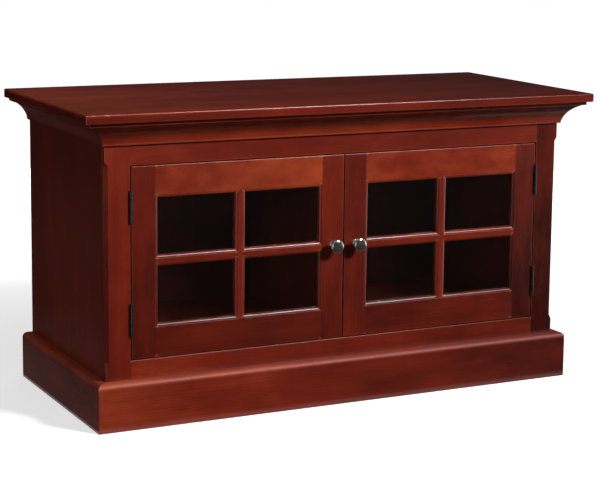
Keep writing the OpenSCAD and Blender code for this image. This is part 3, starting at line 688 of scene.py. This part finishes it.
# %% Glass
def clear_glass(name):
    """Float glass with wiped patches of lower gloss and a slight ripple."""
    material, start = new_material(name)
    place = start.node("TexCoord", None, None, "Object")
    wipe = place.scaled(3, 3, 9).noise(4, 3, 0.6)
    ripple = place.noise(5, 1)
    bump = start.node("Bump", None, {"Strength": 0.05, "Distance": 0.0005, "Height": ripple})
    finish_surface(start, {
        "Base Color": wipe.tint(linear(238, 244, 240), linear(248, 250, 248)),
        "Roughness": wipe.spread(0.4, 0.8, 0.0, 0.07),
        "IOR": 1.5,
        "Transmission Weight": 1.0,
        "Normal": bump,
    })
    return material


for side in SIDES:
    dress(side + "_glass", clear_glass(side + "_pane_glass"))
print("panes: 4 in each door")

# %% [markdown]
# ## Metal and plastic
#
# The knobs are brushed nickel, turned on a lathe, so their scratches run in rings round the
# knob's axis. The hinges and their screws are dark steel, the other screws, the strikes and the
# poles of the catches are bright zinc, and the magnets are dark grey. A Bevel node rounds the
# normals at an edge. Where they part from the flat ones there is an edge, and a plated or
# blackened skin rubs through there to a lighter metal.

# %% Metals
KNOB_X = 0.0292
KNOB_Z = 0.369
METAL_ROUND = 0.0005
METAL_GRAIN = 0.00005
RINGS_PER_M = 2200
BARE_METAL = linear(190, 186, 176)


def edges_of(start, radius):
    """Normals rounded at the edges, and a mask that is 1 where they depart from the flat ones."""
    rounded = start.node("Bevel", {"samples": 4}, {"Radius": radius})
    flat = start.node("NewGeometry", None, None, "Normal")
    agree = start.node("VectorMath", {"operation": "DOT_PRODUCT"}, {0: rounded, 1: flat}, "Value")
    return rounded, (1 - agree).spread(0.02, 0.25)


def metal(name, dark, light, roughness, wear=0.3, rings=0.0, metallic=1.0):
    """Metal with cloudy tone, fine grit and worn edges; rings gives turned scratches."""
    material, start = new_material(name)
    place = start.node("TexCoord", None, None, "Object")
    cloud = place.noise(180, 3, 0.6)
    grit = place.noise(1600, 2)
    rounded, edges = edges_of(start, METAL_ROUND)
    worn = edges * cloud.spread(0.35, 0.6, 0.3, 1.0)
    relief = grit + cloud
    if rings:
        parts = start.node("SeparateXYZ", None, {0: place})
        aside = parts.size() - KNOB_X
        above = parts.also("Z") - KNOB_Z
        radius = (aside * aside + above * above) ** 0.5
        turning = start.node("CombineXYZ", None, {0: radius * RINGS_PER_M, 1: parts.also("Y") * 60})
        scratch = turning.noise(1, 2)
        relief = relief * 0.4 + scratch * rings
    colour = cloud.spread(0.3, 0.7).tint(dark, light)
    colour = (worn * wear).tint(colour, BARE_METAL)
    bump = start.node(
        "Bump", None,
        {"Strength": 0.2, "Distance": METAL_GRAIN, "Height": relief, "Normal": rounded},
    )
    finish_surface(start, {
        "Base Color": colour,
        "Metallic": metallic,
        "Roughness": roughness + (cloud - 0.5) * 0.15 + (grit - 0.5) * 0.06,
        "Normal": bump,
    })
    return material


steel = metal("dark_steel", linear(54, 54, 52), linear(78, 78, 75), 0.38)
nickel = metal(
    "brushed_nickel", linear(192, 186, 176), linear(212, 207, 198), 0.14,
    wear=0.2, rings=0.7, metallic=0.96,
)
zinc = metal("bright_zinc", linear(160, 162, 165), linear(190, 192, 194), 0.3)
ferrite = metal("ferrite", linear(40, 40, 42), linear(58, 58, 60), 0.5)
for name in nodes:
    if name.endswith(("_frame_leaf", "_door_leaf", "hinge_pins")):
        dress(name, steel)
print("metals:", [material.name for material in (steel, nickel, zinc, ferrite)])

# %% [markdown]
# The catches are moulded in brown plastic. It is made like the metal, with its own cloudy tone
# and a finer grain, and its edges are rubbed pale rather than bright.

# %% Plastic
PLASTIC_ROUND = 0.0006
PLASTIC_GRAIN = 0.0001
RUBBED_PLASTIC = linear(120, 92, 74)


def moulded_plastic(name, colour, light):
    """Moulded plastic with a cloudy tone, a fine grain and edges rubbed pale."""
    material, start = new_material(name)
    place = start.node("TexCoord", None, None, "Object")
    cloud = place.noise(90, 3)
    grain = place.noise(2500, 2)
    rounded, edges = edges_of(start, PLASTIC_ROUND)
    worn = edges * 0.5
    tone = worn.tint(cloud.spread(0.3, 0.7).tint(colour, light), RUBBED_PLASTIC)
    bump = start.node(
        "Bump", None,
        {"Strength": 0.2, "Distance": PLASTIC_GRAIN, "Height": grain, "Normal": rounded},
    )
    finish_surface(start, {
        "Base Color": tone,
        "Roughness": 0.45 + (cloud - 0.5) * 0.15,
        "Normal": bump,
    })
    return material


dress("magnetic_catches", moulded_plastic("brown_plastic", linear(58, 38, 26), linear(74, 50, 36)))
print("catches dressed")

# %% [markdown]
# ## Tools for small parts
#
# Every small part is modelled once, round the origin, where its measures are easiest to give.
# What is done again and again has a function here. An operator acts on all that is selected, so
# each function first selects what it works on and nothing else. A round part is a spun outline:
# one vertex is extruded from point to point, and Spin carries the line round.

# %% Spin a round part
WELD = 0.000001
SMOOTH_ANGLE = 30


def only(piece):
    """Selects one piece and makes it active."""
    bpy.ops.object.select_all(action="DESELECT")
    piece.select_set(True)
    bpy.context.view_layer.objects.active = piece


def settle(piece, angle=SMOOTH_ANGLE):
    """Puts a piece's place, turn and size into its mesh, and smooths its shallow edges."""
    only(piece)
    bpy.ops.object.transform_apply(location=True, rotation=True, scale=True)
    bpy.ops.object.shade_smooth_by_angle(angle=math.radians(angle))


def turned(name, outline, steps):
    """A solid of revolution round Z from an outline of radius and height."""
    bpy.ops.object.select_all(action="DESELECT")
    bpy.ops.mesh.primitive_plane_add(size=0.001)
    piece = bpy.context.object
    piece.name = name
    bpy.ops.object.mode_set(mode="EDIT")
    bpy.ops.mesh.select_mode(type="VERT")
    bpy.ops.mesh.merge(type="CENTER")
    points = [Vector((radius, 0, height)) for radius, height in outline]
    bpy.ops.transform.translate(value=points[0])
    for here, there in zip(points, points[1:]):
        bpy.ops.mesh.extrude_vertices_move(TRANSFORM_OT_translate={"value": there - here})
    bpy.ops.mesh.select_all(action="SELECT")
    bpy.ops.mesh.spin(
        steps=steps, angle=2 * math.pi, center=(0, 0, 0), axis=(0, 0, 1),
    )
    bpy.ops.mesh.select_all(action="SELECT")
    bpy.ops.mesh.remove_doubles(threshold=WELD)
    bpy.ops.mesh.normals_make_consistent(inside=False)
    bpy.ops.object.mode_set(mode="OBJECT")
    return piece


def arc(middle, radius, start_degrees, end_degrees, steps):
    """Points of an arc in an outline, from one angle to another."""
    angles = [
        math.radians(start_degrees + (end_degrees - start_degrees) * i / steps)
        for i in range(steps + 1)
    ]
    return [
        (middle[0] + radius * math.cos(a), middle[1] + radius * math.sin(a)) for a in angles
    ]


print("points closer than", WELD, "m become one")

# %% [markdown]
# Solids are added to each other or taken out of each other with a Boolean modifier. A finished
# part is copied with its mesh, a matrix sets each copy down in its place, and the copies are
# joined into one piece that rides on a body.

# %% Combine and copy parts
def combine(piece, other, operation):
    """Adds a solid to a piece or takes it out of the piece, and the other solid goes."""
    only(piece)
    change = piece.modifiers.new("change", "BOOLEAN")
    change.operation = operation
    change.solver = "EXACT"
    change.object = other
    bpy.ops.object.modifier_apply(modifier="change")
    bpy.data.objects.remove(other)


def together(name, pieces):
    """One piece from several, which only lie in each other."""
    only(pieces[0])
    for piece in pieces[1:]:
        piece.select_set(True)
    bpy.ops.object.join()
    piece = bpy.context.object
    piece.name = name
    settle(piece)
    return piece


def copies(model, name, places, body, material):
    """One piece from copies of a model, each set down by a matrix, riding on a body."""
    parts = []
    for matrix in places:
        part = bpy.data.objects.new(name, model.data.copy())
        part.matrix_world = matrix
        bpy.context.scene.collection.objects.link(part)
        parts.append(part)
    only(parts[0])
    for part in parts[1:]:
        part.select_set(True)
    if len(parts) > 1:
        bpy.ops.object.join()
    piece = bpy.context.object
    bpy.ops.object.transform_apply(location=True, rotation=True, scale=True)
    piece.name = name
    piece.data.name = name
    piece.data.materials.clear()
    piece.data.materials.append(material)
    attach(piece, body)
    print(name, len(parts), "copies,", len(piece.data.polygons), "faces")
    return piece


print("bodies to ride on: case, left_door, right_door")

# %% [markdown]
# ## Turned knobs
#
# A knob like this starts as a bar in a lathe. The turner leaves a flange at the foot, cuts a
# slim neck, and shapes a shallow head with a full round rim, so half of its outline is all
# that has to be drawn. Spin turns that outline round the axis. The outline is drawn standing
# up, then laid over so that the knob's axis points out of the door.

# %% Turn the knobs
DOOR_FRONT = CASE_FRONT
KNOB_OUT = 0.033
HEAD_R = 0.016
RIM_R = 0.005
FOOT_R = 0.0072
BEAD_R = 0.0009
NECK_R = 0.0041
NECK_TOP = 0.0185
BROW = 16
KNOB_STEPS = 96
rim_at = HEAD_R - RIM_R
dome_r = (rim_at + RIM_R * math.sin(math.radians(BROW))) / math.sin(math.radians(BROW))
rim_z = KNOB_OUT - dome_r + (dome_r - RIM_R) * math.cos(math.radians(BROW))
outline = (
    # The flat foot and the two beads of the flange.
    [(0, 0), (FOOT_R, 0)]
    + arc((0.0067, BEAD_R), BEAD_R, -60, 60, 4)
    + arc((0.0063, 0.0026), BEAD_R, -50, 60, 4)
    # The hollow up to the slim neck.
    + arc((0.0086, 0.0078), 0.0044, 250, 180, 8)
    + [(NECK_R, 0.014), (NECK_R, NECK_TOP)]
    # The underside of the head, its full round rim and its domed face.
    + arc((0.0096, NECK_TOP), 0.0055, 180, 105, 12)
    + arc((rim_at, rim_z), RIM_R, -35, 90 - BROW, 22)
    + arc((0, KNOB_OUT - dome_r), dome_r, 90 - BROW, 90, 10)[1:]
)
knob = turned("knob_model", outline, KNOB_STEPS)
settle(knob)
print("knob", round(KNOB_OUT * 1000, 1), "mm long,", len(knob.data.polygons), "faces")
for side, sign in SIDES.items():
    place = (sign * KNOB_X, DOOR_FRONT, KNOB_Z)
    piece = copies(
        knob, side + "_brushed_knob", [facing(place, (0, -1, 0))],
        side + "_door", nickel,
    )
    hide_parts(side + "_knob")
bpy.data.objects.remove(knob)

# %% [markdown]
# ## Screws
#
# The hinges are held by flat-headed wood screws, three to a leaf. Such a screw is a cone that
# sits flush in the leaf, over a shank with a raised thread that ends in a point. The knobs and
# the top are held by screws with rounded pan heads. Both kinds have a cross-shaped recess, which
# is pressed in by a tapered punch: two tapered blades, crossed, are taken out of the head here.

# %% The cross-shaped punch
BLADE_THICKNESS = 0.24
BLADE_TAPER = 0.45


def cross_punch(top, size, depth):
    """Two crossed blades that narrow towards their lower end."""
    blades = []
    for turn in (0, 90):
        bpy.ops.mesh.primitive_cube_add(size=1, location=(0, 0, top - depth / 2))
        blade = bpy.context.object
        blade.scale = (size, size * BLADE_THICKNESS, depth)
        blade.rotation_euler = (0, 0, math.radians(turn))
        only(blade)
        bpy.ops.object.transform_apply(location=True, rotation=True, scale=True)
        bpy.ops.object.mode_set(mode="EDIT")
        bpy.ops.mesh.select_all(action="DESELECT")
        bpy.ops.object.mode_set(mode="OBJECT")
        for face in blade.data.polygons:
            face.select = face.normal.z < -0.9
        bpy.ops.object.mode_set(mode="EDIT")
        bpy.ops.mesh.select_mode(type="FACE")
        bpy.ops.transform.resize(
            value=(BLADE_TAPER, BLADE_TAPER, 1), center_override=(0, 0, 0),
        )
        bpy.ops.object.mode_set(mode="OBJECT")
        blades.append(blade)
    first, second = blades
    combine(first, second, "UNION")
    return first


print("blade thickness:", BLADE_THICKNESS, "of its width")

# %% [markdown]
# A thread is one small profile swept down a helix. The Screw modifier does that: it turns the
# profile round Z and lowers it by the pitch at each turn. The two ends are then closed.

# %% The flat-headed screw
THREAD_STEPS = 14


def threaded_shank(root, crest, pitch, top, turns):
    """A helical thread that runs down from the head, closed at both its ends."""
    mesh = bpy.data.meshes.new("thread")
    mesh.from_pydata(
        [(root, 0, 0), (crest, 0, pitch * 0.4), (crest, 0, pitch * 0.5), (root, 0, pitch * 0.9)],
        [(0, 1), (1, 2), (2, 3), (3, 0)], [],
    )
    thread = bpy.data.objects.new("thread", mesh)
    bpy.context.scene.collection.objects.link(thread)
    screw = thread.modifiers.new("screw", "SCREW")
    screw.screw_offset = -pitch
    screw.iterations = turns
    screw.steps = THREAD_STEPS
    screw.render_steps = THREAD_STEPS
    only(thread)
    bpy.ops.object.modifier_apply(modifier="screw")
    bpy.ops.object.mode_set(mode="EDIT")
    bpy.ops.mesh.select_all(action="SELECT")
    bpy.ops.mesh.fill_holes(sides=4)
    bpy.ops.mesh.normals_make_consistent(inside=False)
    bpy.ops.object.mode_set(mode="OBJECT")
    thread.location = (0, 0, top - pitch)
    only(thread)
    bpy.ops.object.transform_apply(location=True, rotation=True, scale=True)
    return thread


HINGE_SCREW_R = 0.0034
HINGE_SHANK_R = 0.0016
HINGE_SCREW_LONG = 0.0168
THREAD_TOP = -0.003
flat_outline = [
    (0, -HINGE_SCREW_LONG), (0.0012, -0.0145), (0.00125, THREAD_TOP),
    (HINGE_SHANK_R, -0.0018), (HINGE_SCREW_R, -0.00015), (HINGE_SCREW_R - 0.00015, 0), (0, 0),
]
flat_head = turned("flat_head", flat_outline, 32)
combine(flat_head, cross_punch(0.0001, 0.0042, 0.0013), "DIFFERENCE")
thread = threaded_shank(0.00115, 0.00158, 0.0012, THREAD_TOP, 9)
flat_screw = together("flat_screw", [flat_head, thread])
print("flat screw", round(HINGE_SCREW_LONG * 1000, 1), "mm,", len(flat_screw.data.polygons), "faces")

# %% [markdown]
# A pan head is a low disc whose upper edge is well rounded. Three sizes are needed: long ones
# for the knobs, middling ones for the top, and short ones for the catches.

# %% The pan-headed screws
PAN_ROUND = 0.6
PAN_CROWN = 1.04
CHAMFER = 0.0008


def pan_screw(name, radius, height, shank, length):
    """A screw with a rounded pan head that stands up from 0, and a plain shank below."""
    rounding = height * PAN_ROUND
    outline = (
        [(0, -length), (shank * 0.8, -length), (shank, -length + CHAMFER), (shank, 0), (radius, 0)]
        + arc((radius - rounding, height * (1 - PAN_ROUND)), rounding, 0, 90, 6)
        + [(0, height * PAN_CROWN)]
    )
    head = turned(name, outline, 40)
    combine(head, cross_punch(height * 1.1, radius * 1.15, height * 0.75), "DIFFERENCE")
    settle(head)
    return head


knob_screw = pan_screw("knob_screw_model", 0.004, 0.0019, 0.002, 0.046)
top_screw = pan_screw("top_screw_model", 0.0045, 0.0021, 0.00225, 0.0318)
small_screw = pan_screw("small_screw_model", 0.0027, 0.0013, 0.0012, 0.006)
print("faces of a pan screw:", len(top_screw.data.polygons))

# %% [markdown]
# Each screw sits where its hole is bored: three to a leaf, the middle one further in than the
# other two. The drivers never leave the crosses lined up, so each screw is turned by its own
# amount.

# %% Drive the screws into the hinges
LEAF_LOW = (0.205, 0.453)
SCREW_ROWS = ((0.0119, -0.21694), (0.035, -0.21226), (0.0581, -0.21694))
DOOR_LEAF_X = 0.5146
FRAME_LEAF_X = 0.515
HINGE_SPIN = 440


def hinge_places(sign, leaf_x, outward):
    """Where a side's six screws go, with their heads towards the gap between the leaves."""
    places = []
    for low in LEAF_LOW:
        for rise, y in SCREW_ROWS:
            spin = Matrix.Rotation(HINGE_SPIN * (low + rise), 4, "Z")
            places.append(facing((sign * leaf_x, y, low + rise), (sign * outward, 0, 0)) @ spin)
    return places


for side, sign in SIDES.items():
    piece = copies(
        flat_screw, side + "_door_leaf_screws", hinge_places(sign, DOOR_LEAF_X, 1),
        side + "_door", steel,
    )
    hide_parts(side + "_hinge_screws")
frame_places = hinge_places(-1, FRAME_LEAF_X, -1) + hinge_places(1, FRAME_LEAF_X, -1)
piece = copies(flat_screw, "frame_leaf_screws", frame_places, "case", steel)
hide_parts("frame_hinge_screws")

# %% [markdown]
# A knob's screw comes from inside its door, so its pan head shows when the door is open. The
# screws of the top come up through the two stretchers, where only somebody under the top sees
# them.

# %% Drive the screws behind the knobs and under the top
DOOR_BACK = -0.2045
for side, sign in SIDES.items():
    place = facing((sign * KNOB_X, DOOR_BACK, KNOB_Z), (0, 1, 0))
    spin = Matrix.Rotation(0.4 + sign * 0.3, 4, "Z")
    piece = copies(
        knob_screw, side + "_pan_screw", [place @ spin], side + "_door", zinc,
    )
    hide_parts(side + "_knob_screw")

TOP_SCREW_X = (-0.454, -0.15, 0.15, 0.454)
TOP_SCREW_Y = (-0.1595, 0.233)
STRETCHER_LOW = 0.657
top_places = [
    facing((x, y, STRETCHER_LOW), (0, 0, -1)) @ Matrix.Rotation(7 * x + 5 * y, 4, "Z")
    for x in TOP_SCREW_X for y in TOP_SCREW_Y
]
piece = copies(top_screw, "top_pan_screws", top_places, "case", zinc)
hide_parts("top_screws")
for model in (flat_screw, knob_screw, top_screw):
    bpy.data.objects.remove(model)

# %% [markdown]
# ## Catches and strikes
#
# A magnetic catch holds each door. Its brown body is screwed to the partition, and in its
# face a dark magnet lies between two steel poles. The strike on the door is a thin plate with
# round corners and one screw, and it meets the poles when the door is shut. A plate starts as a
# cube. Its four short edges are rounded in edit mode, and a Bevel modifier softens its outline.

# %% Make the strikes
def plate(name, size, corner, steps):
    """A flat plate round its own middle, thin along Y, with its four corners rounded."""
    bpy.ops.mesh.primitive_cube_add(size=1)
    piece = bpy.context.object
    piece.name = name
    piece.scale = size
    only(piece)
    bpy.ops.object.transform_apply(location=True, rotation=True, scale=True)
    bpy.ops.object.mode_set(mode="EDIT")
    bpy.ops.mesh.select_all(action="DESELECT")
    bpy.ops.object.mode_set(mode="OBJECT")
    for edge in piece.data.edges:
        ends = [piece.data.vertices[i].co for i in edge.vertices]
        edge.select = abs(ends[0].y - ends[1].y) > size[1] / 2
    bpy.ops.object.mode_set(mode="EDIT")
    bpy.ops.mesh.select_mode(type="EDGE")
    bpy.ops.mesh.bevel(offset=corner, offset_type="OFFSET", segments=steps, affect="EDGES")
    bpy.ops.object.mode_set(mode="OBJECT")
    softened = piece.modifiers.new("softened", "BEVEL")
    softened.width = size[1] * 0.25
    softened.segments = 2
    softened.angle_limit = math.radians(50)
    bpy.ops.object.modifier_apply(modifier="softened")
    return piece


STRIKE_X = 0.016
STRIKE_Z = 0.53
STRIKE_SIZE = (0.012, 0.0015, 0.04)
STRIKE_SPIN = 0.5
strike = plate("strike_model", STRIKE_SIZE, 0.003, 6)
bpy.ops.mesh.primitive_cone_add(
    vertices=32, radius1=0.0012, radius2=0.0031, depth=0.0012, location=(0, 0.0006, 0),
    rotation=(math.radians(-90), 0, 0),
)
combine(strike, bpy.context.object, "DIFFERENCE")
strike_outline = [
    (0, -0.0118), (0.0012, -0.011), (0.0014, -0.0014), (0.0028, -0.0001), (0, 0.0002),
]
strike_head = turned("strike_head", strike_outline, 32)
combine(strike_head, cross_punch(0.0003, 0.0034, 0.0011), "DIFFERENCE")
settle(strike_head)
spin = Matrix.Rotation(STRIKE_SPIN, 4, "Z")
strike_head.data.transform(facing((0, 0.00065, 0), (0, 1, 0)) @ spin)
strike = together("strike_model", [strike, strike_head])
strike_y = DOOR_BACK + STRIKE_SIZE[1] / 2
for side, sign in SIDES.items():
    place = Matrix.Translation((sign * STRIKE_X, strike_y, STRIKE_Z))
    piece = copies(
        strike, side + "_strike_plate", [place], side + "_door", zinc,
    )
    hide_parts(side + "_strike")
bpy.data.objects.remove(strike)

# %% [markdown]
# The poles stand a little proud of the catch's face, so that the strike meets steel and not
# plastic. The magnet lies between them, a hair lower, and two small screws hold each catch to
# the partition.

# %% Make the poles and magnets
CATCH_FRONT = -0.2026
POLE_STAND = 0.0003
POLE_SIZE = (0.0016, 0.0012, 0.036)
POLE_OFF = 0.0036
MAGNET_SIZE = (0.0052, 0.001, 0.035)
FLANGE_X = 0.0225
FLANGE_Y = -0.192
SCREW_RISE = 0.014
pole = plate("pole_model", POLE_SIZE, 0.0004, 2)
magnet = plate("magnet_model", MAGNET_SIZE, 0.0004, 2)
pole_y = CATCH_FRONT - POLE_STAND + POLE_SIZE[1] / 2
pole_places = [
    Matrix.Translation((sign * STRIKE_X + off, pole_y, STRIKE_Z))
    for sign in SIDES.values() for off in (-POLE_OFF, POLE_OFF)
]
copies(pole, "catch_poles", pole_places, "case", zinc)
magnet_places = [
    Matrix.Translation((sign * STRIKE_X, pole_y, STRIKE_Z)) for sign in SIDES.values()
]
copies(magnet, "catch_magnets", magnet_places, "case", ferrite)
catch_places = []
for sign in SIDES.values():
    for rise in (-SCREW_RISE, SCREW_RISE):
        spin = Matrix.Rotation(rise * 90, 4, "Z")
        place = (sign * FLANGE_X, FLANGE_Y, STRIKE_Z + rise)
        catch_places.append(facing(place, (sign, 0, 0)) @ spin)
copies(small_screw, "catch_screws", catch_places, "case", zinc)
for model in (pole, magnet, small_screw):
    bpy.data.objects.remove(model)

# %% [markdown]
# ## Brads in the back
#
# The thin backs sit in rabbets and are held by small brads with domed heads, about a hand's
# width apart all round. They go into the sides, the deck, the rear stretcher and the edge of
# the partition.

# %% Nail the backs on
BACK_Y = 0.284
BRAD_X = (0.0048, 0.5595)
BRAD_Z = (0.1395, 0.6665)
BRAD_GAPS = 5
brad = turned(
    "brad_model",
    [(0, -0.006), (0.0006, -0.0055), (0.0007, 0), (0.0019, 0), (0.0019, 0.0002)]
    + arc((0, -0.00205), 0.0029, 49, 90, 5),
    20,
)
settle(brad, 35)
spots = []
for i in range(BRAD_GAPS + 1):
    x = BRAD_X[0] + (BRAD_X[1] - BRAD_X[0]) * i / BRAD_GAPS
    spots += [(x, BRAD_Z[0]), (x, BRAD_Z[1])]
for i in range(1, BRAD_GAPS):
    z = BRAD_Z[0] + (BRAD_Z[1] - BRAD_Z[0]) * i / BRAD_GAPS
    spots += [(BRAD_X[0], z), (BRAD_X[1], z)]
for side, sign in SIDES.items():
    places = [facing((sign * x, BACK_Y, z), (0, 1, 0)) for x, z in spots]
    copies(brad, side + "_back_brads", places, "case", steel)
bpy.data.objects.remove(brad)
